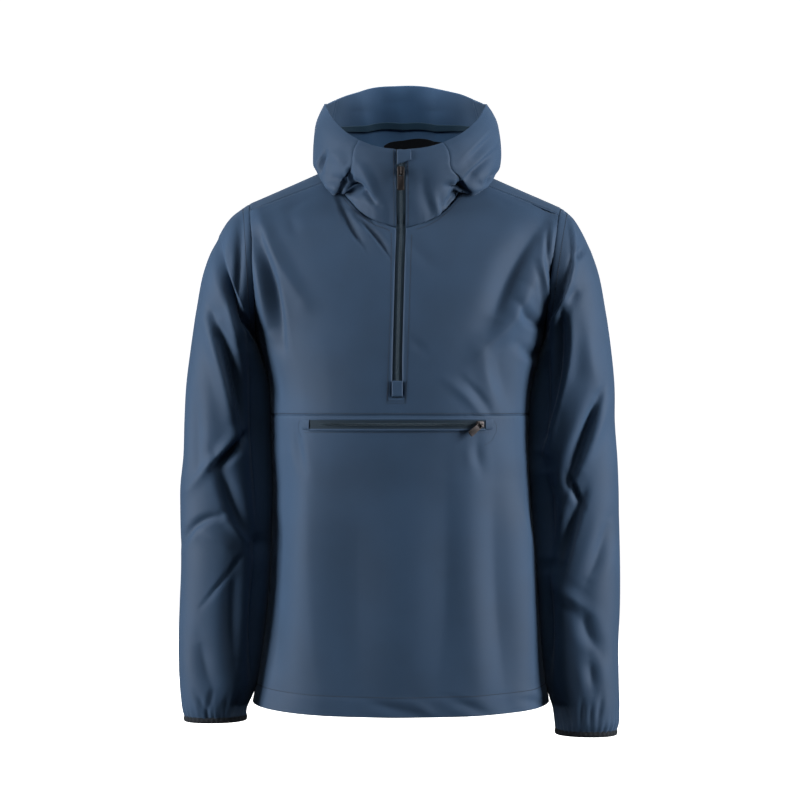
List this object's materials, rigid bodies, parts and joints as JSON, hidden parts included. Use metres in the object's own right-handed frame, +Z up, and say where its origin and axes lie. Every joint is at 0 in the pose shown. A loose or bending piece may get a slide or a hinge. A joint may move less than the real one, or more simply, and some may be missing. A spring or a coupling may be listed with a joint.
{
  "type": "hooded half-zip anorak pullover",
  "caption": "Hooded softshell pullover filled out as if worn, with a half zip at the neck, a zipped pocket across the chest and elastic-bound cuffs.",
  "frame": {"origin": "middle of the neck, level with the high points of the shoulders, where the wearer holds the garment up", "axes": "+Z up, -Y out of the front, +X towards the wearer's left arm"},
  "size_m": [0.6055, 0.3367, 0.9083],
  "materials": {
    "shell": "navy blue softshell weave with a soft sheen",
    "binding": "black elastic binding",
    "zip_tape": "dark blue zip tape with a coated coil",
    "facing": "black matte facing",
    "zip_metal": "dark grey lacquered zip metal"
  },
  "bodies": {
    "root": {"upper_front": "shell", "lower_front": "shell", "back": "shell", "sleeve_left": "shell", "sleeve_right": "shell", "cuff_binding_left": "binding", "cuff_binding_right": "binding", "collar_front_right": "shell", "collar_front_left": "shell", "hood_side_right": "shell", "hood_side_left": "shell", "hood_centre": "shell", "hood_tape_band": "zip_tape", "neck_facing": "facing", "main_zip": "zip_tape", "zip_garage": "shell", "zip_end_patch": "zip_tape", "pocket_zip": "zip_tape", "pocket_end_patch_left": "shell", "pocket_end_patch_right": "shell", "main_slider": "zip_metal", "pocket_slider": "zip_metal"},
    "main_pull": {"main_tab": "zip_metal"},
    "pocket_pull": {"pocket_tab": "zip_metal"}
  },
  "joints": [
    {"name": "main_pull_hinge", "type": "hinge", "parent": "root", "child": "main_pull", "pos_m": [-0.00161, -0.12347, -0.0195], "axis": [-1, 0, 0], "range_deg": [0, 150]},
    {"name": "pocket_pull_hinge", "type": "hinge", "parent": "root", "child": "pocket_pull", "pos_m": [0.10477, -0.12465, -0.3567], "axis": [-0.5644, -0.2783, 0.7771], "range_deg": [0, 150]}
  ]
}
